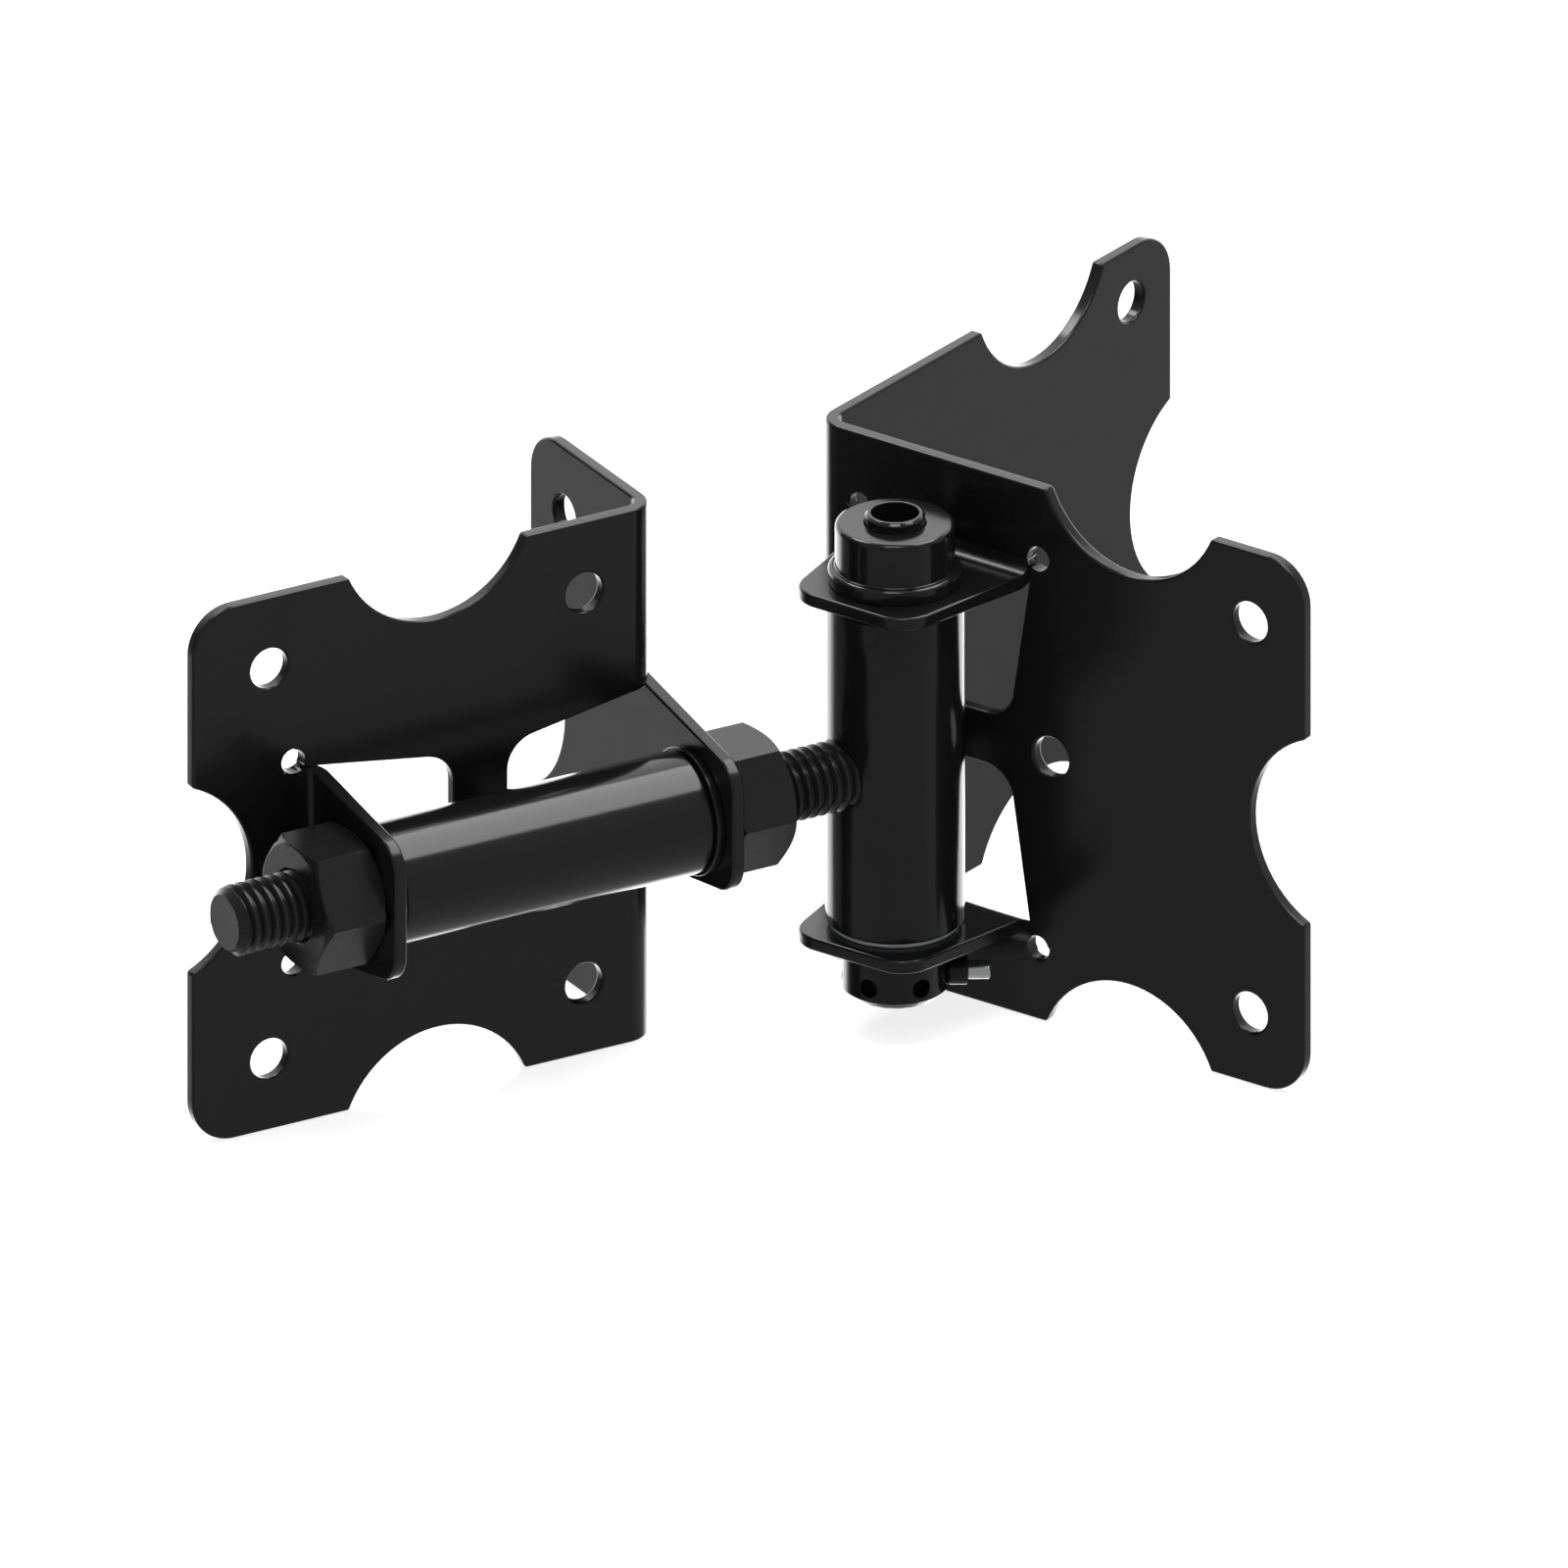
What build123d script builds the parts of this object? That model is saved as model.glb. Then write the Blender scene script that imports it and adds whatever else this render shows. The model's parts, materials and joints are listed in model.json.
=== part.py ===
from build123d import *
from math import tan, radians
import os

# Adjustable self-closing gate hinge: two folded sheet brackets, a sprung barrel and a threaded rod.
# Millimetres. Z is the hinge axis, the origin is on it half way between the ears, and the post plate
# faces -Y. The gate side is drawn with the gate shut, its rod along -X, and is then turned open.

# Sheet shared by both brackets
sheet = 2.5
bend_radius = 3.0
bracket_height = 102.0
corner_radius = 8.3
scallop_radius = 19.3
scallop_depth = 11.85
bolt_hole_radius = 3.75
bolt_row = 37.4

# Post bracket
post_plate_width = 106.05
post_wing_depth = 102.7
post_corner_offset = 29.3
axis_to_plate = 15.8
post_plate_hole_inset = 11.8
post_wing_hole_inset = 11.75
post_wing_row = 40.7
post_middle_hole = 51.35
post_scallop_inset = 38.0

# Gate bracket
gate_open_angle = 66.3
gate_plate_width = 94.0
gate_wing_depth = 40.7
gate_corner_offset = 38.4
gate_ear_span = 70.6
gate_corner_window = 30.4
gate_scallop_inset = 44.6
gate_edge_hole_inset = 15.5
gate_corner_hole_inset = 15.0
gate_wing_hole_inset = 12.0
gate_wing_row = 38.1

# Ears lanced out of the sheet, each leaving a window of its own shape
ear_height = 34.1
ear_reach = 29.9
ear_root_half_width = 18.25
corner_ear_half_width = 17.45
ear_taper = 0.165
ear_tip_radius = 6.0
window_depth = 32.3
relief_setback = 3.1
relief_margin = 1.05
relief_radius = 2.25
lance_gap = 0.3

# Hinge pin, barrel and spring
running_gap = 0.05
end_play = 0.1
pin_radius = 5.3
pin_bore_radius = 4.25
pin_stand = 1.8
pin_lip = 0.7
bush_wall = 1.0
washer_thickness = 0.8
washer_radius = 11.4
barrel_radius = 12.2
barrel_wall = 2.0
plug_length = 10.0
seat_radius = 7.9
spring_wire = 2.4
spring_radius = 7.7
spring_turns = 12
spring_gap = 0.3
spring_tang = 2.7

# Top collar and tension cap
flange_radius = 11.8
flange_thickness = 2.8
collar_radius = 10.5
collar_height = 11.0
cap_radius = 9.33
cap_height = 10.4
cap_chamfer = 1.3
spindle_depth = 14.5
peg_hole_radius = 1.75
peg_hole_depth = 3.0
peg_hole_height = 3.8
peg_hole_count = 6
peg_angle = 36.1
peg_radius = 1.625
peg_reach = 16.75
peg_shoulder_radius = 2.6
peg_shoulder_length = 3.2
edge_break = 0.5

# Rod, nuts and sleeve
rod_radius = 6.35
rod_drop = 0.8
rod_reach = 135.3
rod_end_chamfer = 1.35
nut_flats = 22.2
nut_thickness = 12.3
nut_corner_angle = 28.0
sleeve_radius = 11.1
sleeve_wall = 2.0
sleeve_bush_flange = 1.5
sleeve_bush_radius = 11.6
sleeve_bush_spigot = 8.0

# Places worked out from the sizes above
half_height = bracket_height / 2
ear_inside = ear_height - sheet
bend_outer = bend_radius + sheet
fold_gain = window_depth - ear_reach
ear_hole_radius = seat_radius + running_gap + bush_wall
barrel_end = ear_inside - washer_thickness - end_play
barrel_bore = barrel_radius - barrel_wall
collar_top = ear_height + collar_height
pin_top = collar_top + pin_stand
cap_top = ear_height + end_play
cap_bottom = cap_top + cap_height
spindle_top = cap_top - spindle_depth
gate_far_ear = gate_corner_offset + gate_ear_span
rest_pose = Rot(0, 0, gate_open_angle)
along_rod = Pos(0, 0, -rod_drop) * Rot(0, -90, 0)


def turned(*profile):
    """Solid turned about Z from (radius, height) corners."""
    return revolve(Plane.XZ * make_face(Polyline(*profile, close=True)), Axis.Z)


def tube(outer, inner, low, high):
    """Plain ring or tube about Z between two heights."""
    return Pos(0, 0, low) * extrude(Circle(outer) - Circle(inner), high - low)


def corner_profile(leg_x, leg_y):
    """Bent strip seen end on, its sharp outer corner at the origin."""
    outline = Polyline((0, 0), (leg_x, 0), (leg_x, sheet), (sheet, sheet), (sheet, leg_y), (0, leg_y),
                       close=True)
    strip = make_face(outline)
    strip = fillet(strip.vertices().sort_by_distance((0, 0))[0], bend_outer)
    return fillet(strip.vertices().sort_by_distance((sheet, sheet))[0], bend_radius)


def tapered_outline(half_width, start, end):
    """Ear or window shape between two distances past the relief holes, its tip corners rounded."""
    near = half_width - ear_taper * start
    far = half_width - ear_taper * end
    shape = make_face(Polyline((-near, -start), (near, -start), (far, -end), (-far, -end), close=True))
    return fillet(shape.vertices().group_by(Axis.Y)[0], ear_tip_radius)


def window_cutter(half_width, depth, length):
    """Window below a fold: front face of the sheet at y = 0, ear's hollow side at z = 0."""
    outline = tapered_outline(half_width, 0, length)
    return Pos(0, depth, relief_setback) * Rot(90, 0, 0) * extrude(outline, depth + sheet)


def relief_cutters():
    """Holes at the two ends of a fold."""
    offset = ear_root_half_width + relief_margin
    holes = [Pos(side * offset, 0, relief_setback) * Rot(90, 0, 0) * Cylinder(relief_radius, 4 * sheet)
             for side in (-1, 1)]
    return holes[0] + holes[1]


def ear_plan(half_width, back):
    """Ear seen square on, from `back` behind the plate's front face to its tip at -ear_reach."""
    outline = tapered_outline(half_width - lance_gap, fold_gain - back, window_depth)
    return Pos(0, fold_gain, 0) * outline


def folded_ear():
    """Ear bent out of the sheet towards -y, with its hollow side at z = 0 and the fold above it."""
    profile = Plane((0, sheet, -sheet), x_dir=(0, -1, 0), z_dir=(-1, 0, 0)) * corner_profile(
        ear_reach + sheet, relief_setback + sheet)
    strip = extrude(profile, ear_root_half_width, both=True)
    plan = Pos(0, 0, -2 * sheet) * extrude(ear_plan(ear_root_half_width, sheet), 3 * sheet + relief_setback)
    return strip & plan


def folded_plate(width, depth, plate_scallop, wing_scallops):
    """Sheet bent to an L, plate along +X and wing along +Y, with rounded corners and scalloped edges."""
    body = Pos(0, 0, -half_height) * extrude(corner_profile(width, depth), bracket_height)
    body = fillet(body.edges().filter_by(Axis.Y).group_by(Axis.X)[-1], corner_radius)
    body = fillet(body.edges().filter_by(Axis.X).group_by(Axis.Y)[-1], corner_radius)
    clear = scallop_radius - scallop_depth
    bite = Rot(90, 0, 0) * Cylinder(scallop_radius, 2 * bend_outer)
    side_bite = Rot(0, 90, 0) * Cylinder(scallop_radius, 2 * bend_outer)
    body -= Pos(width + clear, 0, 0) * bite
    body -= Pos(0, depth + clear, 0) * side_bite
    for side in (-1, 1):
        body -= Pos(plate_scallop, 0, side * (half_height + clear)) * bite
        for place in wing_scallops:
            body -= Pos(0, place, side * (half_height + clear)) * side_bite
    return body


def bolt_holes(places, turn):
    """Through holes at (x, y, z) places, along Y or, turned, along X."""
    drill = turn * Cylinder(bolt_hole_radius, 4 * sheet)
    return [Pos(*place) * drill for place in places]


def post_bracket():
    """Bracket on the post: plate in front, wing down the side, two ears holding the barrel."""
    body = folded_plate(post_plate_width, post_wing_depth, post_plate_width - post_scallop_inset,
                        [post_wing_depth - post_scallop_inset])
    rows = (-bolt_row, bolt_row)
    wing_rows = (-post_wing_row, post_wing_row)
    edge_x = post_plate_width - post_plate_hole_inset
    edge_y = post_wing_depth - post_wing_hole_inset
    body -= bolt_holes([(edge_x, 0, z) for z in rows] + [(post_middle_hole, 0, 0)], Rot(90, 0, 0))
    body -= bolt_holes([(0, edge_y, z) for z in wing_rows], Rot(0, 90, 0))
    body = Pos(-post_corner_offset, axis_to_plate, 0) * body
    for flip in (Rot(0, 0, 0), Rot(0, 180, 0)):
        fold = flip * Pos(0, axis_to_plate, ear_height)
        body -= fold * window_cutter(ear_root_half_width, sheet, window_depth)
        body += fold * folded_ear()
        body -= fold * relief_cutters()
        body -= flip * Pos(0, 0, ear_height) * Cylinder(ear_hole_radius, 3 * sheet)
    return body


def gate_bracket():
    """Bracket on the gate: one ear is bent from the plate, the other is the wing carried on forwards."""
    body = folded_plate(gate_plate_width, gate_wing_depth, gate_scallop_inset, [])
    rows = (-bolt_row, bolt_row)
    wing_rows = (-gate_wing_row, gate_wing_row)
    columns = (gate_corner_hole_inset, gate_plate_width - gate_edge_hole_inset)
    body -= bolt_holes([(x, 0, z) for x in columns for z in rows], Rot(90, 0, 0))
    body -= bolt_holes([(0, gate_wing_depth - gate_wing_hole_inset, z) for z in wing_rows], Rot(0, 90, 0))
    body = Pos(-gate_corner_offset, axis_to_plate, 0) * mirror(body, Plane.YZ)
    near_fold = Pos(-gate_corner_offset, axis_to_plate, 0) * Rot(0, 90, 0)
    far_fold = Pos(-gate_far_ear, axis_to_plate, 0) * along_rod
    body -= near_fold * window_cutter(corner_ear_half_width, bend_outer, relief_setback + gate_corner_window)
    body -= far_fold * window_cutter(ear_root_half_width, sheet, window_depth)
    body += far_fold * folded_ear()
    body -= far_fold * relief_cutters()
    body += near_fold * Pos(0, 0, -sheet) * extrude(ear_plan(corner_ear_half_width, bend_outer), sheet)
    relief = corner_ear_half_width + relief_margin
    for side in (-1, 1):
        root = Pos(-gate_corner_offset, axis_to_plate + bend_outer, side * relief)
        body -= root * Rot(0, 90, 0) * Cylinder(relief_radius / 2, 4 * sheet)
    body -= along_rod * Pos(0, 0, gate_corner_offset) * Cylinder(sleeve_bush_spigot + running_gap, 4 * sheet)
    body -= along_rod * Pos(0, 0, gate_far_ear) * Cylinder(sleeve_bush_spigot + running_gap, 4 * sheet)
    return rest_pose * body


def top_collar():
    """Flanged collar that seats the hinge pin on the upper ear."""
    bore = pin_radius + running_gap
    flange_top = ear_height + flange_thickness
    e = edge_break
    return turned((bore, ear_inside + end_play), (seat_radius, ear_inside + end_play),
                  (seat_radius, ear_height), (flange_radius, ear_height), (flange_radius, flange_top - e),
                  (flange_radius - e, flange_top), (collar_radius, flange_top), (collar_radius, collar_top - e),
                  (collar_radius - e, collar_top), (bore, collar_top))


def hinge_pin():
    """Hollow pin through both ears, rolled over a small lip under the tension cap."""
    e = edge_break
    lip_radius = pin_radius + pin_lip
    lip_top = cap_bottom + end_play
    return turned((pin_bore_radius, -lip_top - pin_lip), (lip_radius - e, -lip_top - pin_lip),
                  (lip_radius, -lip_top - pin_lip + e), (lip_radius, -lip_top), (pin_radius, -lip_top),
                  (pin_radius, pin_top - e), (pin_radius - e, pin_top), (pin_bore_radius, pin_top))


def ear_bush(low, high):
    """Bearing bush in an ear's hole."""
    return tube(ear_hole_radius - running_gap, seat_radius + running_gap, low, high)


def thrust_washer(low, high):
    """Washer between an ear and the end of the barrel."""
    return tube(washer_radius, ear_hole_radius - bush_wall / 2, low, high)


def barrel_tube():
    """Barrel with a hole in its side for the rod."""
    shell = tube(barrel_radius, barrel_bore, -barrel_end, barrel_end)
    shell = chamfer(shell.edges().filter_by(GeomType.CIRCLE).filter_by(lambda e: e.radius > barrel_bore + 1),
                    edge_break)
    side_hole = along_rod * Pos(0, 0, barrel_radius) * Cylinder(rod_radius + running_gap, 4 * barrel_wall)
    return rest_pose * (shell - side_hole)


def upper_plug():
    """Bearing plug at the barrel's top, with a hole for the spring's upper end."""
    outer = barrel_bore - running_gap
    low = barrel_end - plug_length
    plug = tube(outer, pin_radius + running_gap, low, barrel_end)
    tang_hole = Cylinder(spring_wire / 2 + spring_gap, 2 * (spring_tang + spring_wire))
    return plug - Pos(spring_radius, 0, low) * tang_hole


def lower_plug():
    """Bearing plug at the barrel's foot, running on the tension cap's spindle."""
    outer = barrel_bore - running_gap
    return tube(outer, seat_radius + running_gap, -barrel_end, -barrel_end + plug_length - spring_wire)


def torsion_spring():
    """Closing spring wound round the pin, an upright end in the upper plug and one in the spindle."""
    wire = spring_wire / 2
    low = -spindle_top + spring_gap + wire
    high = barrel_end - plug_length - spring_gap - wire
    coil = Helix(pitch=(high - low) / spring_turns, height=high - low, radius=spring_radius, center=(0, 0, low))
    section = Plane(origin=coil @ 0, z_dir=coil % 0) * Circle(wire)
    body = sweep(section, path=coil, is_frenet=True)
    reach = spring_tang + spring_gap + wire
    for start, way in ((low, -1), (high, 1)):
        body += Pos(spring_radius, 0, start) * Sphere(wire)
        body += Pos(spring_radius, 0, start + way * reach / 2) * Cylinder(wire, reach)
    return body


def tension_cap():
    """Cap with peg holes round it and a spindle that winds the spring's lower end."""
    bore = pin_radius + running_gap
    e = edge_break
    body = turned((bore, -cap_bottom), (cap_radius - cap_chamfer, -cap_bottom),
                  (cap_radius, -cap_bottom + cap_chamfer), (cap_radius, -cap_top - e),
                  (cap_radius - e, -cap_top), (seat_radius, -cap_top), (seat_radius, -spindle_top),
                  (bore, -spindle_top))
    body -= Pos(spring_radius, 0, -spindle_top) * Cylinder(spring_wire / 2 + spring_gap, 2 * (spring_tang + 1))
    drill = Pos(cap_radius, 0, peg_hole_height - cap_bottom) * Rot(0, 90, 0) * Cylinder(
        peg_hole_radius, 2 * peg_hole_depth)
    for number in range(peg_hole_count):
        body -= Rot(0, 0, peg_angle + number * 360 / peg_hole_count) * drill
    return body


def stop_peg():
    """Steel peg that stands in one of the cap's holes and stops it against the post plate."""
    root = cap_radius - peg_hole_depth + end_play
    shoulder = cap_radius + end_play
    tip = 0.3
    shoulder_end = shoulder + peg_shoulder_length
    body = turned((0, root), (peg_radius, root), (peg_radius, shoulder), (peg_shoulder_radius, shoulder),
                  (peg_shoulder_radius, shoulder_end), (peg_radius, shoulder_end), (peg_radius, peg_reach - tip),
                  (peg_radius - tip, peg_reach), (0, peg_reach))
    return Rot(0, 0, peg_angle) * Pos(0, 0, peg_hole_height - cap_bottom) * Rot(0, 90, 0) * body


def threaded_rod():
    """Rod out of the barrel's side, its fine thread left off and its end chamfered."""
    c = rod_end_chamfer
    body = turned((0, barrel_bore + running_gap), (rod_radius, barrel_bore + running_gap),
                  (rod_radius, rod_reach - c), (rod_radius - c, rod_reach), (0, rod_reach))
    return rest_pose * along_rod * body


def hex_nut(low):
    """Heavy hex nut on the rod with its two faces chamfered, starting at a distance from the hinge axis."""
    face = nut_flats / 2 * 0.98
    wide = nut_flats * 0.7
    slope = (wide - face) * tan(radians(30))
    bore = rod_radius + running_gap
    hexagon = RegularPolygon(nut_flats / 2, 6, major_radius=False, rotation=nut_corner_angle)
    prism = extrude(hexagon, nut_thickness)
    barrel = turned((0, 0), (face, 0), (wide, slope), (wide, nut_thickness - slope), (face, nut_thickness),
                    (0, nut_thickness))
    c = edge_break
    hole = turned((0, 0), (bore + c, 0), (bore, c), (bore, nut_thickness - c), (bore + c, nut_thickness),
                  (0, nut_thickness))
    return rest_pose * along_rod * Pos(0, 0, low) * ((prism & barrel) - hole)


def sleeve_bush(face, way):
    """Flanged bush in a gate ear, with its flange against the ear's inner face."""
    bore = rod_radius + running_gap
    far = face + way * sleeve_bush_flange
    back = face - way * (sheet - end_play)
    body = turned((bore, back), (sleeve_bush_spigot, back), (sleeve_bush_spigot, face),
                  (sleeve_bush_radius, face), (sleeve_bush_radius, far), (bore, far))
    return rest_pose * along_rod * body


def spacer_sleeve():
    """Tube that keeps the two gate ears apart round the rod."""
    low = gate_corner_offset + sheet + sleeve_bush_flange + end_play
    high = gate_far_ear - sheet - sleeve_bush_flange - end_play
    bore = sleeve_radius - sleeve_wall
    e = edge_break
    body = turned((bore, low), (sleeve_radius - e, low), (sleeve_radius, low + e), (sleeve_radius, high - e),
                  (sleeve_radius - e, high), (bore, high))
    return rest_pose * along_rod * body


nodes = {
    "post_bracket": post_bracket(),
    "top_collar": top_collar(),
    "hinge_pin": hinge_pin(),
    "upper_ear_bush": ear_bush(ear_inside, ear_height),
    "lower_ear_bush": ear_bush(-ear_height, -ear_inside),
    "upper_thrust_washer": thrust_washer(ear_inside - washer_thickness, ear_inside),
    "lower_thrust_washer": thrust_washer(-ear_inside, washer_thickness - ear_inside),
    "barrel_tube": barrel_tube(),
    "upper_plug": upper_plug(),
    "lower_plug": lower_plug(),
    "torsion_spring": torsion_spring(),
    "threaded_rod": threaded_rod(),
    "tension_cap": tension_cap(),
    "stop_peg": stop_peg(),
    "gate_bracket": gate_bracket(),
    "spacer_sleeve": spacer_sleeve(),
    "inner_sleeve_bush": sleeve_bush(gate_corner_offset + sheet, 1),
    "outer_sleeve_bush": sleeve_bush(gate_far_ear - sheet, -1),
    "inner_nut": hex_nut(gate_corner_offset - nut_thickness),
    "outer_nut": hex_nut(gate_far_ear),
}

os.makedirs("parts", exist_ok=True)
for name, piece in nodes.items():
    export_step(piece, f"parts/{name}.step")
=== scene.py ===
import json
from math import cos, pi, radians, sin

import bpy
from mathutils import Matrix, Vector


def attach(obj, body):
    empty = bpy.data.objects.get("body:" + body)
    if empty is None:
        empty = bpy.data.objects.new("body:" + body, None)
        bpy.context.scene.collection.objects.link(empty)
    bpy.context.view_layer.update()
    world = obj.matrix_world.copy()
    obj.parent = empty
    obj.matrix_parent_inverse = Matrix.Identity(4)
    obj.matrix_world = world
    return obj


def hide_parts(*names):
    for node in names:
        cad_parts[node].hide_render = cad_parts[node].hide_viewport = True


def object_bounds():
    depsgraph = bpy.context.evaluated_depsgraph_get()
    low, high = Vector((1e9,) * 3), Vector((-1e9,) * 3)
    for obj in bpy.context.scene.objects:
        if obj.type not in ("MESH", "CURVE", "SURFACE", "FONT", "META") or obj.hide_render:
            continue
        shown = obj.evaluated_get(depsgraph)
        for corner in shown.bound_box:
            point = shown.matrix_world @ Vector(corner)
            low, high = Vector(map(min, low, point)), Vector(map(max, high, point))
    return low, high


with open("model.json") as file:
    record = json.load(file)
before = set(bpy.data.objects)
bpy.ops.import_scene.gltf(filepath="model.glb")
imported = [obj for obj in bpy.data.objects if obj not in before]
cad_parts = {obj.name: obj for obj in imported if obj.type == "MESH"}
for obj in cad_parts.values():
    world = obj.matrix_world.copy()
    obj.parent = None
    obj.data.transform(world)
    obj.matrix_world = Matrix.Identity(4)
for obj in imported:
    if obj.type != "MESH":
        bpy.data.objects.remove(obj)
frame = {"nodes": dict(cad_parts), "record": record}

bl_info = {
    "name": "Self-closing gate hinge",
    "version": (1, 0, 0),
    "blender": (4, 5, 0),
    "location": "View3D > Sidebar > Gate Hinge",
    "description": "Finishes the packed gate hinge and sets it in a pale studio",
    "category": "Object",
}

CAD_BOX = [list(corner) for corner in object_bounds()]

# The photograph's width in pixels, and its scale
PHOTO_WIDTH = 1600
PIXELS_PER_MM = 5.85

# The gate side is turned open about the hinge axis. The turn takes a rod drawn up the Z axis to its place.
OPEN_ANGLE = radians(66.3)
ROD_DROP = 0.0008
ROD_TURN = (Matrix.Rotation(OPEN_ANGLE, 4, "Z") @ Matrix.Translation((0, 0, -ROD_DROP))
            @ Matrix.Rotation(-pi / 2, 4, "Y"))

# Where the rod starts and ends along its own axis, its radius, and the chamfer of its far end
ROD_START = 0.01025
ROD_END = 0.1353
ROD_RADIUS = 0.00635
ROD_CHAMFER = 0.00135

# The rod's thread: its standard pitch, and the shares of the pitch that crest, root and eased corner take
INCH = 0.0254
THREADS_PER_INCH = 13
CREST_SHARE = 0.36
FOOT_SHARE = 0.1
EASE_SHARE = 0.06
SPARE_TURNS = 3
THREAD_MERGE = 0.000002

# Points at the small cuts beside the ears' roots, four on the post bracket and four on the gate bracket.
# The sheet's edges stay sharp within the reach of each.
ROOT_CUTS = [(across, 0.017, up) for across in (-0.0175, 0.0175) for up in (-0.034, 0.034)] + [
    (-0.0336, -0.0287, -0.0169), (-0.0336, -0.0287, 0.0169),
    (-0.0593, -0.0928, -0.0184), (-0.0593, -0.0928, 0.0169)]
ROOT_REACH = 0.0049

# Degrees: edges sharper than the first are rounded, faces flatter than the others are shaded as one
EDGE_ANGLE = 32
SHEET_SMOOTH = 22
TURNED_SMOOTH = 40
THREAD_SMOOTH = 28

# Distance within which a node's loose triangles are merged, and degrees within which faces count as flat
NODE_MERGE = 0.0000005
FLAT_ANGLE = 0.5

# Which way the stop peg points, and how far from the hinge axis its dark shoulder gives way to bright steel
PEG_AZIMUTH = radians(36.1)
PEG_STEP = 0.01278

# How much darker the spring is than the bright steel
SPRING_SHADE = 0.4

# Which way the camera looks at the hinge, where its view is centred, how far off it stands and how far it sees
VIEW_AZIMUTH = radians(36.14)
VIEW_ELEVATION = radians(24.5)
VIEW_OFFSET = (-0.01936, -0.00475)
VIEW_DISTANCE = 1.2
VIEW_REACH = (0.05, 20)

# The floor's width, how far it lies below the hinge, and how much it glows to the camera
FLOOR_WIDTH = 6
FLOOR_GAP = 0.0002
FLOOR_GLOW = 0.8

# Where the backdrop stands, the side on which the room is brighter, and its dark corner
BEHIND = (-0.59, 0.807, 0)
ROOM_BRIGHTER = (-0.45, 0.89, 0)
ROOM_DARKER = (-0.866, -0.5, 0)

# The room's light: its level's shares on the dim and the bright side, and its level for matt surfaces
ROOM_SHARES = (0.6, 1.3)
ROOM_PLAIN = 0.25

# Smooth steps over how far a ray goes along a direction: where each starts and ends, and the share of light
# at either end. The backdrop's edge has no shares, because it rises from nothing to the backdrop's level.
CORNER_SHADE = (0.835, 0.875, 1, 0.12)
BACKDROP_FADE = (0.05, 0.3, 1, 0.45)
BACKDROP_EDGE = (0.46, 0.66)

# Sockets of a map range node in the order that its four numbers are given, and a mix node's two colours
RANGE_SOCKETS = ("From Min", "From Max", "To Min", "To Max")
MIX_COLOURS = (6, 7)

# Part of the noise that a gloss drifts over, and how deep the coat's orange peel lies
NOISE_RANGE = (0.3, 0.7)
PEEL_DEPTH = 0.00004

# The lamps: where each stands, which way its long side lies, its size, and its share of the overhead level
LAMPS = (
    ("overhead_lamp", (0.213, 0.406, 0.891), (0.85, -0.373, -0.057), (0.84, 0.35), 1),
    ("left_lamp", (-0.54, 0.08, 0.84), (0, 1, 0), (0.35, 0.2), 2),
    ("front_lamp", (0.245, -0.335, 0.91), (0.807, 0.59, 0), (0.4, 0.25), 1.2),
)
LAMP_DISTANCE = 0.9


class HingeSizes(bpy.types.PropertyGroup):
    """Sizes of the finer forms that the frame leaves to the finish."""

    sheet_round: bpy.props.FloatProperty(
        name="Sheet edge rounding", description="Radius on the cut edges of the folded brackets",
        default=0.0005, min=0.0001, max=0.001, precision=5, unit="LENGTH")
    turned_round: bpy.props.FloatProperty(
        name="Turned edge rounding", description="Radius on the edges of the turned pieces",
        default=0.00035, min=0.0001, max=0.001, precision=5, unit="LENGTH")
    pin_round: bpy.props.FloatProperty(
        name="Pin lip rounding", description="Radius on the lip of the hollow hinge pin",
        default=0.0006, min=0.0001, max=0.001, precision=5, unit="LENGTH")
    washer_round: bpy.props.FloatProperty(
        name="Washer rounding", description="Radius on the rims of the barrel's thrust washers",
        default=0.0003, min=0.0001, max=0.001, precision=5, unit="LENGTH")
    nut_round: bpy.props.FloatProperty(
        name="Nut edge rounding", description="Radius on the corners of the hex nuts and the stop peg",
        default=0.00022, min=0.00005, max=0.001, precision=5, unit="LENGTH")
    thread_pitch: bpy.props.FloatProperty(
        name="Thread pitch", description="Distance between two turns of the rod's thread",
        default=INCH / THREADS_PER_INCH, min=0.0005, max=0.004, precision=6, unit="LENGTH")
    thread_depth: bpy.props.FloatProperty(
        name="Thread depth", description="How deep the rod's thread is cut",
        default=0.00092, min=0.0002, max=0.002, precision=5, unit="LENGTH")
    thread_steps: bpy.props.IntProperty(
        name="Thread steps", description="Facets in one turn of the rod's thread",
        default=48, min=16, max=96)


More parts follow.
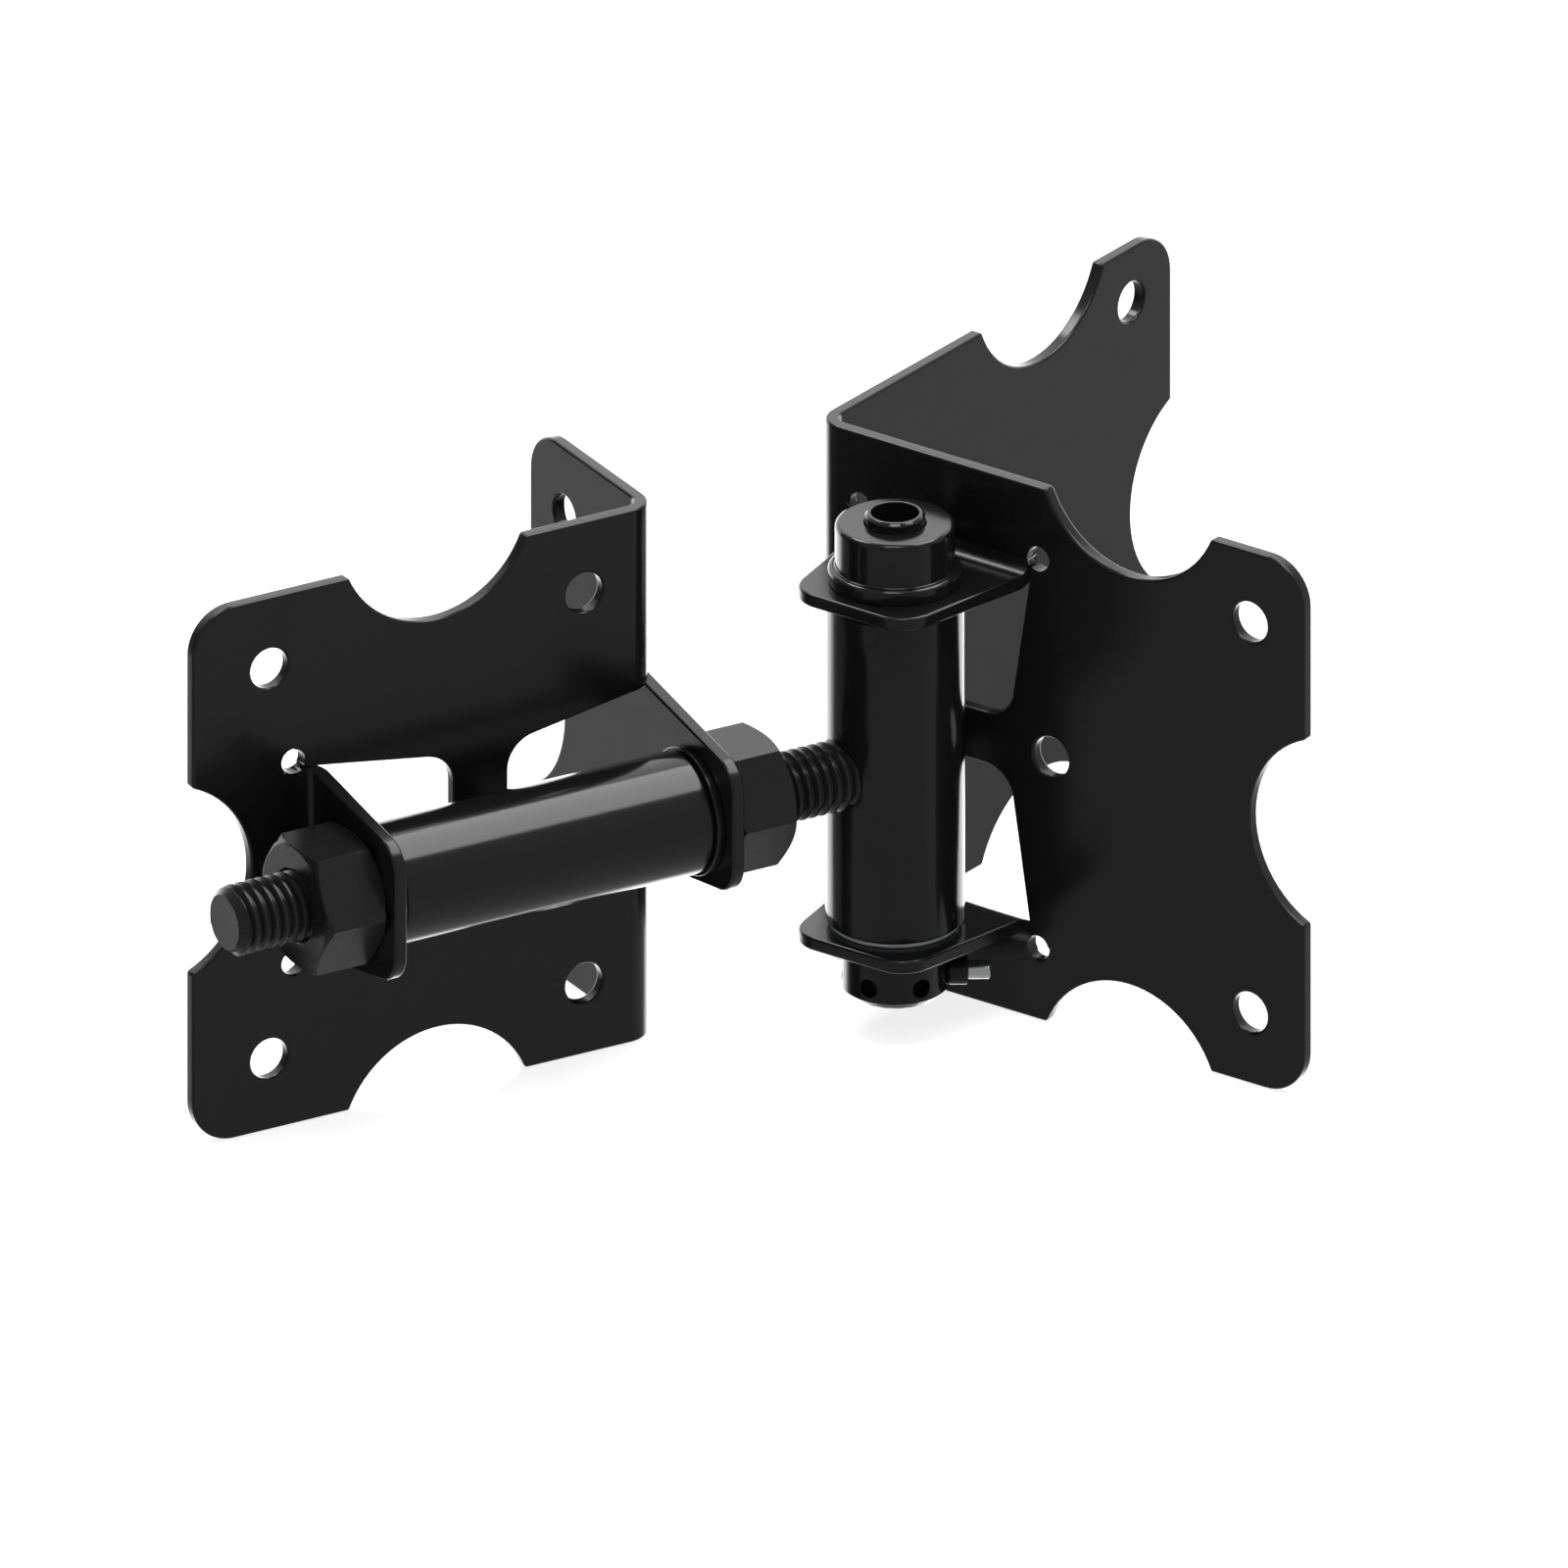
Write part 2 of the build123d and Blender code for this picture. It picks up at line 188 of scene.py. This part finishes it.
class HingeFinish(bpy.types.PropertyGroup):
    """Colours and gloss of the hinge's surfaces."""

    coat_colour: bpy.props.FloatVectorProperty(
        name="Coat colour", description="Colour of the black powder coat",
        default=(0.0088, 0.0088, 0.009), min=0, max=1, subtype="COLOR")
    coat_gloss: bpy.props.FloatProperty(
        name="Coat roughness", description="Roughness of the powder coat on the turned pieces",
        default=0.14, min=0, max=1, subtype="FACTOR")
    sheet_gloss: bpy.props.FloatProperty(
        name="Sheet roughness", description="Roughness of the powder coat on the folded brackets",
        default=0.22, min=0, max=1, subtype="FACTOR")
    nut_colour: bpy.props.FloatVectorProperty(
        name="Nut and rod colour", description="Colour of the blackened nuts and rod",
        default=(0.014, 0.014, 0.0142), min=0, max=1, subtype="COLOR")
    nut_gloss: bpy.props.FloatProperty(
        name="Nut and rod roughness", description="Roughness of the blackened nuts and rod",
        default=0.27, min=0, max=1, subtype="FACTOR")
    steel_colour: bpy.props.FloatVectorProperty(
        name="Bright steel colour", description="Colour of the stop peg's bright end",
        default=(0.86, 0.87, 0.88), min=0, max=1, subtype="COLOR")
    # The thrust washers' pale zinc is partly their plating and partly a painted highlight: it paints in the
    # bright ring at the barrel's foot.
    zinc_and_highlight_colour: bpy.props.FloatVectorProperty(
        name="Zinc colour", description="Colour of the zinc on the thrust washers",
        default=(0.87, 0.93, 0.96), min=0, max=1, subtype="COLOR")
    brass_colour: bpy.props.FloatVectorProperty(
        name="Bush colour", description="Colour of the bearing bushes and plugs",
        default=(0.62, 0.48, 0.25), min=0, max=1, subtype="COLOR")


class HingeStudio(bpy.types.PropertyGroup):
    """Floor, light and view of the studio."""

    floor_colour: bpy.props.FloatVectorProperty(
        name="Floor colour", description="Colour of the pale floor",
        default=(0.9, 0.9, 0.9), min=0, max=1, subtype="COLOR")
    view_width: bpy.props.FloatProperty(
        name="View width", description="Width of what the camera sees",
        default=PHOTO_WIDTH / PIXELS_PER_MM / 1000, min=0.05, max=2, precision=5, unit="LENGTH")
    room_level: bpy.props.FloatProperty(
        name="Room level", description="Brightness of the pale room that the hinge mirrors at the sides",
        default=0.43, min=0, max=4)
    backdrop_level: bpy.props.FloatProperty(
        name="Backdrop level",
        description="Brightness of the backdrop behind the hinge, as the hinge mirrors it",
        default=2.3, min=0, max=10)
    overhead_level: bpy.props.FloatProperty(
        name="Overhead level", description="Brightness of the long lamp overhead",
        default=4.4, min=0, max=20)


def settings():
    """The three groups of settings on the scene."""
    scene = bpy.context.scene
    return scene.hinge_sizes, scene.hinge_finish, scene.hinge_studio


def deselect():
    """Leave edit mode and select nothing."""
    if bpy.context.object and bpy.context.object.mode != "OBJECT":
        bpy.ops.object.mode_set(mode="OBJECT")
    bpy.ops.object.select_all(action="DESELECT")


def activate(piece):
    """Make one object the only one selected."""
    deselect()
    piece.select_set(True)
    bpy.context.view_layer.objects.active = piece


def apply_modifiers(piece):
    """Turn the piece's modifiers into mesh, in order."""
    activate(piece)
    for name in [modifier.name for modifier in piece.modifiers]:
        if "FINISHED" not in bpy.ops.object.modifier_apply(modifier=name):
            raise RuntimeError(f"{piece.name}: modifier {name} was not applied")


def finish_piece(piece, name, body, material, angle, nodes):
    """Name the piece, shade it, give it its material and hang it on its body in place of its nodes."""
    if not piece.data.polygons:
        raise RuntimeError(f"{name} has no faces")
    activate(piece)
    piece.name = name
    piece.data.name = name
    bpy.ops.object.shade_smooth_by_angle(angle=radians(angle))
    flat = piece.modifiers.new("flat_faces", "WEIGHTED_NORMAL")
    flat.weight = 100
    flat.keep_sharp = True
    apply_modifiers(piece)
    piece.data.materials.clear()
    piece.data.materials.append(material)
    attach(piece, body)
    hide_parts(*nodes)


def body_of_node(name):
    """Body that a node of the frame belongs to."""
    for body, members in frame["record"]["behaviour"]["bodies"].items():
        if name in members:
            return body
    raise RuntimeError(f"no body holds {name}")


# Materials

def noise(nodes, links, coordinates, scale, detail=2):
    """Noise over the piece's own coordinates."""
    texture = nodes.new("ShaderNodeTexNoise")
    texture.inputs["Scale"].default_value = scale
    texture.inputs["Detail"].default_value = detail
    links.new(coordinates.outputs["Object"], texture.inputs["Vector"])
    return texture


def spread(nodes, links, source, low, high):
    """Noise turned into a range of values about a middle one."""
    span = nodes.new("ShaderNodeMapRange")
    for socket, number in zip(RANGE_SOCKETS, (*NOISE_RANGE, low, high)):
        span.inputs[socket].default_value = number
    links.new(source.outputs["Fac"], span.inputs["Value"])
    return span


def uneven_material(name, colour, roughness, tints, cloud_scale, glosses, gloss_scale):
    """Material whose colour and roughness each drift between two shares of their value."""
    material = bpy.data.materials.new(name)
    material.use_nodes = True
    nodes, links = material.node_tree.nodes, material.node_tree.links
    nodes.clear()
    output = nodes.new("ShaderNodeOutputMaterial")
    shader = nodes.new("ShaderNodeBsdfPrincipled")
    links.new(shader.outputs[0], output.inputs["Surface"])
    coordinates = nodes.new("ShaderNodeTexCoord")
    cloud = noise(nodes, links, coordinates, cloud_scale, detail=3)
    tint = nodes.new("ShaderNodeMix")
    tint.data_type = "RGBA"
    for socket, share in zip(MIX_COLOURS, tints):
        tint.inputs[socket].default_value = (*[min(1, c * share) for c in colour], 1)
    links.new(cloud.outputs["Fac"], tint.inputs["Factor"])
    links.new(tint.outputs[2], shader.inputs["Base Color"])
    grain = noise(nodes, links, coordinates, gloss_scale)
    gloss = spread(nodes, links, grain, roughness * glosses[0], roughness * glosses[1])
    links.new(gloss.outputs["Result"], shader.inputs["Roughness"])
    return material, shader, coordinates


def coat_material(name, colour, roughness, peel, peel_scale, shine=0.5):
    """Powder coat or blackened steel: a dark skin with a fine orange peel and slightly uneven gloss."""
    material, shader, coordinates = uneven_material(
        name, colour, roughness, tints=(0.85, 1.15), cloud_scale=60, glosses=(0.92, 1.08), gloss_scale=220)
    nodes, links = material.node_tree.nodes, material.node_tree.links
    skin = noise(nodes, links, coordinates, peel_scale)
    bump = nodes.new("ShaderNodeBump")
    bump.inputs["Strength"].default_value = peel
    bump.inputs["Distance"].default_value = PEEL_DEPTH
    links.new(skin.outputs["Fac"], bump.inputs["Height"])
    links.new(bump.outputs["Normal"], shader.inputs["Normal"])
    shader.inputs["IOR"].default_value = 1.5
    shader.inputs["Specular IOR Level"].default_value = shine
    return material


def metal_material(name, colour, roughness, bareness=1):
    """Metal with a slightly uneven gloss, bare or under a pale plating."""
    material, shader = uneven_material(
        name, colour, roughness, tints=(0.9, 1.05), cloud_scale=150, glosses=(0.8, 1.2), gloss_scale=900)[:2]
    shader.inputs["Metallic"].default_value = bareness
    return material


def material_for(slot, kind=""):
    """Material of a slot of the record, made once, beside the plain one that the frame brings."""
    name = slot + kind + "_finish"
    if name in bpy.data.materials:
        return bpy.data.materials[name]
    finish = settings()[1]
    if slot == "black_coat":
        gloss = finish.sheet_gloss if kind == "_sheet" else finish.coat_gloss
        return coat_material(name, finish.coat_colour, gloss, peel=0.12, peel_scale=1400)
    if slot == "black_steel":
        return coat_material(name, finish.nut_colour, finish.nut_gloss,
                             peel=0.08, peel_scale=2600, shine=0.38)
    if slot == "bearing_brass":
        return metal_material(name, finish.brass_colour, roughness=0.35)
    if slot == "spring_steel":
        return metal_material(name, [c * SPRING_SHADE for c in finish.steel_colour], roughness=0.4)
    # Washers: pale zinc plating that also serves as a painted highlight, the bright ring at the barrel's foot
    if kind == "_zinc_and_highlight":
        return metal_material(name, finish.zinc_and_highlight_colour, roughness=0.45, bareness=0.1)
    return metal_material(name, finish.steel_colour, roughness=0.25)


# Pieces

def node_copy(name):
    """Closed copy of a node's mesh: its loose triangles merged and its flat faces made whole."""
    source = frame["nodes"][name]
    piece = bpy.data.objects.new(name + "_piece", source.data.copy())
    bpy.context.scene.collection.objects.link(piece)
    activate(piece)
    bpy.ops.object.mode_set(mode="EDIT")
    bpy.ops.mesh.select_all(action="SELECT")
    bpy.ops.mesh.remove_doubles(threshold=NODE_MERGE)
    bpy.ops.mesh.dissolve_limited(angle_limit=radians(FLAT_ANGLE))
    bpy.ops.object.mode_set(mode="OBJECT")
    return piece


def mark_sheet_edges(piece):
    """Weigh the sharp edges for rounding, save those at the small cuts beside the ears' roots."""
    bpy.ops.object.mode_set(mode="EDIT")
    bpy.ops.mesh.select_mode(type="EDGE")
    bpy.ops.mesh.select_all(action="DESELECT")
    bpy.ops.mesh.edges_select_sharp(sharpness=radians(EDGE_ANGLE))
    bpy.ops.object.mode_set(mode="OBJECT")
    sheet = piece.data
    weights = sheet.attributes.new("bevel_weight_edge", "FLOAT", "EDGE")
    for edge in sheet.edges:
        middle = sum((sheet.vertices[number].co for number in edge.vertices), Vector()) / 2
        if edge.select and min((middle - Vector(cut)).length for cut in ROOT_CUTS) > ROOT_REACH:
            weights.data[edge.index].value = 1


def rounded_copy(node, name, width, slot, segments=3, kind="", cut=None):
    """Copy of a node with its sharp edges rounded, standing for the node or for its part behind a cut.

    A sheet's rounding isn't limited by short edges nearby, so it leaves out the cuts at the ears' roots.
    """
    piece = node_copy(node)
    sheet = kind == "_sheet"
    bevel = piece.modifiers.new("rounding", "BEVEL")
    if sheet:
        mark_sheet_edges(piece)
        bevel.limit_method = "WEIGHT"
    else:
        bevel.limit_method = "ANGLE"
        bevel.angle_limit = radians(EDGE_ANGLE)
    bevel.width = width
    bevel.segments = segments
    bevel.use_clamp_overlap = not sheet
    bevel.miter_outer = "MITER_ARC"
    apply_modifiers(piece)
    if cut:
        bpy.ops.object.mode_set(mode="EDIT")
        bpy.ops.mesh.select_all(action="SELECT")
        bpy.ops.mesh.bisect(plane_co=cut[0], plane_no=cut[1], use_fill=True, clear_outer=True)
        bpy.ops.object.mode_set(mode="OBJECT")
    smooth = SHEET_SMOOTH if sheet else TURNED_SMOOTH
    finish_piece(piece, name, body_of_node(node), material_for(slot, kind), smooth, (node,))


def drawn_profile(points):
    """Open line through (radius, height) points in the XZ plane, drawn by extruding one vertex."""
    deselect()
    bpy.ops.mesh.primitive_plane_add(size=0.001, location=(0, 0, 0))
    piece = bpy.context.object
    bpy.ops.object.mode_set(mode="EDIT")
    bpy.ops.mesh.select_mode(type="VERT")
    bpy.ops.mesh.select_all(action="SELECT")
    bpy.ops.mesh.merge(type="CENTER")
    bpy.ops.transform.translate(value=(points[0][0], 0, points[0][1]))
    for before, after in zip(points, points[1:]):
        step = (after[0] - before[0], 0, after[1] - before[1])
        bpy.ops.mesh.extrude_region_move(TRANSFORM_OT_translate={"value": step})
    bpy.ops.object.mode_set(mode="OBJECT")
    return piece


def settle(piece, turn):
    """Put the piece's place into its mesh and turn it."""
    piece.data.transform(turn @ piece.matrix_basis)
    piece.matrix_basis = Matrix.Identity(4)


class HINGE_OT_brackets(bpy.types.Operator):
    """Round the cut edges of the two folded brackets."""

    bl_idname = "hinge.brackets"
    bl_label = "Folded brackets"

    def execute(self, context):
        sizes = settings()[0]
        for node in ("post_bracket", "gate_bracket"):
            rounded_copy(node, node + "_sheet", sizes.sheet_round, "black_coat", segments=5, kind="_sheet")
        return {"FINISHED"}


class HINGE_OT_barrel(bpy.types.Operator):
    """Round the pin, barrel, collar, cap, washers and peg, the peg as a dark and a bright piece."""

    bl_idname = "hinge.barrel"
    bl_label = "Barrel and pin"

    def execute(self, context):
        sizes = settings()[0]
        rounded_copy("hinge_pin", "hinge_pin_turned", sizes.pin_round, "black_coat")
        for node in ("barrel_tube", "top_collar", "tension_cap"):
            rounded_copy(node, node + "_turned", sizes.turned_round, "black_coat")
        outward = Vector((cos(PEG_AZIMUTH), sin(PEG_AZIMUTH), 0))
        step = outward * PEG_STEP
        rounded_copy("stop_peg", "stop_peg_shoulder", sizes.nut_round, "black_steel", cut=(step, outward))
        rounded_copy("stop_peg", "stop_peg_end", sizes.nut_round, "bright_steel", cut=(step, -outward))
        # The washers' pale zinc partly paints in the highlight ring at the barrel's foot
        for node in ("upper_thrust_washer", "lower_thrust_washer"):
            rounded_copy(node, node + "_turned", sizes.washer_round, "bright_steel", kind="_zinc_and_highlight")
        return {"FINISHED"}


class HINGE_OT_sleeve(bpy.types.Operator):
    """Round the edges of the spacer sleeve and its flanged bushes."""

    bl_idname = "hinge.sleeve"
    bl_label = "Sleeve and bushes"

    def execute(self, context):
        sizes = settings()[0]
        for node in ("spacer_sleeve", "inner_sleeve_bush", "outer_sleeve_bush"):
            rounded_copy(node, node + "_turned", sizes.turned_round, "black_coat")
        return {"FINISHED"}


class HINGE_OT_nuts(bpy.types.Operator):
    """Round the corners of the two hex nuts."""

    bl_idname = "hinge.nuts"
    bl_label = "Hex nuts"

    def execute(self, context):
        sizes = settings()[0]
        for node in ("inner_nut", "outer_nut"):
            rounded_copy(node, node + "_forged", sizes.nut_round, "black_steel", segments=2)
        return {"FINISHED"}


class HINGE_OT_rod(bpy.types.Operator):
    """Cut the thread on the rod."""

    bl_idname = "hinge.rod"
    bl_label = "Threaded rod"

    def execute(self, context):
        sizes = settings()[0]
        pitch, root = sizes.thread_pitch, ROD_RADIUS - sizes.thread_depth
        crest, foot, ease = pitch * CREST_SHARE, pitch * FOOT_SHARE, pitch * EASE_SHARE
        low = ROD_START - pitch
        middle = low + (pitch + foot) / 2
        piece = drawn_profile([
            (root, low), (root, low + foot), (ROD_RADIUS - ease, middle - crest / 2),
            (ROD_RADIUS, middle - crest / 2 + ease), (ROD_RADIUS, middle + crest / 2 - ease),
            (ROD_RADIUS - ease, middle + crest / 2), (root, low + pitch)])
        screw = piece.modifiers.new("thread", "SCREW")
        screw.axis = "Z"
        screw.screw_offset = pitch
        screw.iterations = int((ROD_END - ROD_START) / pitch) + SPARE_TURNS
        screw.steps = screw.render_steps = sizes.thread_steps
        screw.use_merge_vertices = True
        screw.merge_threshold = THREAD_MERGE
        screw.use_smooth_shade = False
        apply_modifiers(piece)
        bpy.ops.object.mode_set(mode="EDIT")
        for height, normal in ((ROD_START, (0, 0, -1)), (ROD_END, (0, 0, 1))):
            bpy.ops.mesh.select_all(action="SELECT")
            bpy.ops.mesh.bisect(plane_co=(0, 0, height), plane_no=normal, use_fill=True, clear_outer=True)
        bpy.ops.mesh.select_all(action="SELECT")
        bpy.ops.mesh.remove_doubles(threshold=THREAD_MERGE)
        bpy.ops.mesh.normals_make_consistent(inside=False)
        bpy.ops.object.mode_set(mode="OBJECT")
        for vertex in piece.data.vertices:
            reach = (vertex.co.x ** 2 + vertex.co.y ** 2) ** 0.5
            limit = ROD_RADIUS - ROD_CHAMFER + (ROD_END - vertex.co.z)
            if reach > limit and vertex.co.z > ROD_END - 2 * ROD_CHAMFER:
                vertex.co.x *= limit / reach
                vertex.co.y *= limit / reach
        settle(piece, ROD_TURN)
        finish_piece(piece, "rod_thread", "barrel", material_for("black_steel"),
                     THREAD_SMOOTH, ("threaded_rod",))
        return {"FINISHED"}


class HINGE_OT_inner(bpy.types.Operator):
    """Give the ear bushes, plugs and spring their metals."""

    bl_idname = "hinge.inner"
    bl_label = "Inner pieces"

    def execute(self, context):
        slots = {row["node"]: row["material_slot"] for row in frame["record"]["subparts"]}
        for node in ("upper_ear_bush", "lower_ear_bush", "upper_plug", "lower_plug", "torsion_spring"):
            piece = frame["nodes"][node]
            piece.data.materials.clear()
            piece.data.materials.append(material_for(slots[node]))
        return {"FINISHED"}


class HINGE_OT_stage(bpy.types.Operator):
    """Set the pale floor, the soft lamps and the camera."""

    bl_idname = "hinge.stage"
    bl_label = "Studio"

    def execute(self, context):
        studio = settings()[2]
        self.floor(studio)
        self.world(studio)
        self.lamps(studio)
        self.camera(studio)
        context.scene.view_settings.view_transform = "Standard"
        return {"FINISHED"}

    def floor(self, studio):
        """Large pale floor: white to the camera with the hinge's soft shadow on it, and not mirrored."""
        deselect()
        bpy.ops.mesh.primitive_plane_add(size=FLOOR_WIDTH, location=(0, 0, 0))
        floor = bpy.context.object
        floor.data.transform(Matrix.Translation((0, 0, CAD_BOX[0][2] - FLOOR_GAP)))
        floor.name = "studio_floor"
        material = bpy.data.materials.new("floor_paper")
        material.use_nodes = True
        nodes, links = material.node_tree.nodes, material.node_tree.links
        nodes.clear()
        output = nodes.new("ShaderNodeOutputMaterial")
        paper = nodes.new("ShaderNodeBsdfDiffuse")
        paper.inputs["Color"].default_value = (*studio.floor_colour, 1)
        glow = nodes.new("ShaderNodeEmission")
        glow.inputs["Color"].default_value = (1, 1, 1, 1)
        glow.inputs["Strength"].default_value = FLOOR_GLOW
        both = nodes.new("ShaderNodeAddShader")
        links.new(paper.outputs[0], both.inputs[0])
        links.new(glow.outputs[0], both.inputs[1])
        path = nodes.new("ShaderNodeLightPath")
        seen = nodes.new("ShaderNodeMixShader")
        links.new(path.outputs["Is Camera Ray"], seen.inputs["Fac"])
        links.new(paper.outputs[0], seen.inputs[1])
        links.new(both.outputs[0], seen.inputs[2])
        clear = nodes.new("ShaderNodeBsdfTransparent")
        mirrored = nodes.new("ShaderNodeMixShader")
        links.new(path.outputs["Is Glossy Ray"], mirrored.inputs["Fac"])
        links.new(seen.outputs[0], mirrored.inputs[1])
        links.new(clear.outputs[0], mirrored.inputs[2])
        links.new(mirrored.outputs[0], output.inputs["Surface"])
        floor.data.materials.append(material)

    def world(self, studio):
        """Pale surroundings: white to the camera, and mirrored as a room with a brighter backdrop."""
        world = bpy.data.worlds.new("pale_studio")
        bpy.context.scene.world = world
        world.use_nodes = True
        nodes, links = world.node_tree.nodes, world.node_tree.links
        nodes.clear()
        output = nodes.new("ShaderNodeOutputWorld")
        coordinates = nodes.new("ShaderNodeTexCoord")
        apart = nodes.new("ShaderNodeSeparateXYZ")
        links.new(coordinates.outputs["Generated"], apart.inputs[0])
        path = nodes.new("ShaderNodeLightPath")

        def facing(direction):
            """How far a ray goes along a direction, from -1 to 1."""
            along = nodes.new("ShaderNodeVectorMath")
            along.operation = "DOT_PRODUCT"
            along.inputs[1].default_value = direction
            links.new(coordinates.outputs["Generated"], along.inputs[0])
            return along.outputs["Value"]

        def ramp(value, start, end, low, high):
            """Smooth step of a value from low to high."""
            step = nodes.new("ShaderNodeMapRange")
            step.interpolation_type = "SMOOTHSTEP"
            for socket, number in zip(RANGE_SOCKETS, (start, end, low, high)):
                step.inputs[socket].default_value = number
            links.new(value, step.inputs["Value"])
            return step.outputs["Result"]

        def combined(first, second, operation):
            """Two values added or multiplied."""
            both = nodes.new("ShaderNodeMath")
            both.operation = operation
            links.new(first, both.inputs[0])
            links.new(second, both.inputs[1])
            return both.outputs[0]

        dim, bright = (studio.room_level * share for share in ROOM_SHARES)
        room = combined(ramp(facing(ROOM_BRIGHTER), -1, 1, dim, bright),
                        ramp(facing(ROOM_DARKER), *CORNER_SHADE), "MULTIPLY")
        backdrop = combined(ramp(facing(BEHIND), *BACKDROP_EDGE, 0, studio.backdrop_level),
                            ramp(apart.outputs["Z"], *BACKDROP_FADE), "MULTIPLY")
        graded = nodes.new("ShaderNodeBackground")
        links.new(combined(room, backdrop, "ADD"), graded.inputs["Strength"])
        plain = nodes.new("ShaderNodeBackground")
        plain.inputs["Strength"].default_value = ROOM_PLAIN
        seen = nodes.new("ShaderNodeBackground")
        seen.inputs["Strength"].default_value = 1
        for background in (graded, plain, seen):
            background.inputs["Color"].default_value = (1, 1, 1, 1)
        mirrored = nodes.new("ShaderNodeMixShader")
        links.new(path.outputs["Is Glossy Ray"], mirrored.inputs["Fac"])
        links.new(plain.outputs[0], mirrored.inputs[1])
        links.new(graded.outputs[0], mirrored.inputs[2])
        mix = nodes.new("ShaderNodeMixShader")
        links.new(path.outputs["Is Camera Ray"], mix.inputs["Fac"])
        links.new(mirrored.outputs[0], mix.inputs[1])
        links.new(seen.outputs[0], mix.inputs[2])
        links.new(mix.outputs[0], output.inputs["Surface"])

    def lamps(self, studio):
        """Soft lamps overhead, to the left and in front, each given by the brightness that it shows."""
        for name, direction, along, size, share in LAMPS:
            outward = Vector(direction).normalized()
            side = Vector(along)
            side = (side - outward * side.dot(outward)).normalized()
            turn = Matrix((side, outward.cross(side), outward)).transposed()
            deselect()
            bpy.ops.object.light_add(type="AREA", location=outward * LAMP_DISTANCE)
            lamp = bpy.context.object
            lamp.name = name
            lamp.data.shape = "RECTANGLE"
            lamp.data.size, lamp.data.size_y = size
            lamp.data.energy = studio.overhead_level * share * pi * size[0] * size[1]
            lamp.rotation_mode = "QUATERNION"
            lamp.rotation_quaternion = turn.to_quaternion()

    def camera(self, studio):
        """Camera without perspective at the photograph's angle."""
        back = Vector((sin(VIEW_AZIMUTH) * cos(VIEW_ELEVATION), -cos(VIEW_AZIMUTH) * cos(VIEW_ELEVATION),
                       sin(VIEW_ELEVATION)))
        right = Vector((cos(VIEW_AZIMUTH), sin(VIEW_AZIMUTH), 0))
        up = back.cross(right)
        place = right * VIEW_OFFSET[0] + up * VIEW_OFFSET[1] + back * VIEW_DISTANCE
        deselect()
        bpy.ops.object.camera_add(location=place)
        camera = bpy.context.object
        camera.name = "photo_camera"
        camera.rotation_mode = "QUATERNION"
        camera.rotation_quaternion = (-back).to_track_quat("-Z", "Y")
        camera.data.type = "ORTHO"
        camera.data.ortho_scale = studio.view_width
        camera.data.clip_start, camera.data.clip_end = VIEW_REACH
        bpy.context.scene.camera = camera


OPERATORS = (HINGE_OT_brackets, HINGE_OT_barrel, HINGE_OT_sleeve, HINGE_OT_nuts, HINGE_OT_rod,
             HINGE_OT_inner, HINGE_OT_stage)


class HINGE_PT_panel(bpy.types.Panel):
    """Lists the hinge's pieces and settings."""

    bl_label = "Gate Hinge"
    bl_idname = "HINGE_PT_panel"
    bl_space_type = "VIEW_3D"
    bl_region_type = "UI"
    bl_category = "Gate Hinge"

    def draw(self, context):
        layout = self.layout
        for group in settings():
            for name in group.__annotations__:
                layout.prop(group, name)
        for operator in OPERATORS:
            layout.operator(operator.bl_idname)


GROUPS = {"hinge_sizes": HingeSizes, "hinge_finish": HingeFinish, "hinge_studio": HingeStudio}


def register():
    for group in GROUPS.values():
        bpy.utils.register_class(group)
    for name, group in GROUPS.items():
        setattr(bpy.types.Scene, name, bpy.props.PointerProperty(type=group))
    for kind in (*OPERATORS, HINGE_PT_panel):
        bpy.utils.register_class(kind)


def unregister():
    for kind in (HINGE_PT_panel, *reversed(OPERATORS)):
        bpy.utils.unregister_class(kind)
    for name in GROUPS:
        delattr(bpy.types.Scene, name)
    for group in reversed(GROUPS.values()):
        bpy.utils.unregister_class(group)


def main():
    register()
    bpy.ops.hinge.brackets()
    bpy.ops.hinge.barrel()
    bpy.ops.hinge.sleeve()
    bpy.ops.hinge.nuts()
    bpy.ops.hinge.rod()
    bpy.ops.hinge.inner()
    bpy.ops.hinge.stage()
    deselect()


if __name__ == "__main__":
    main()
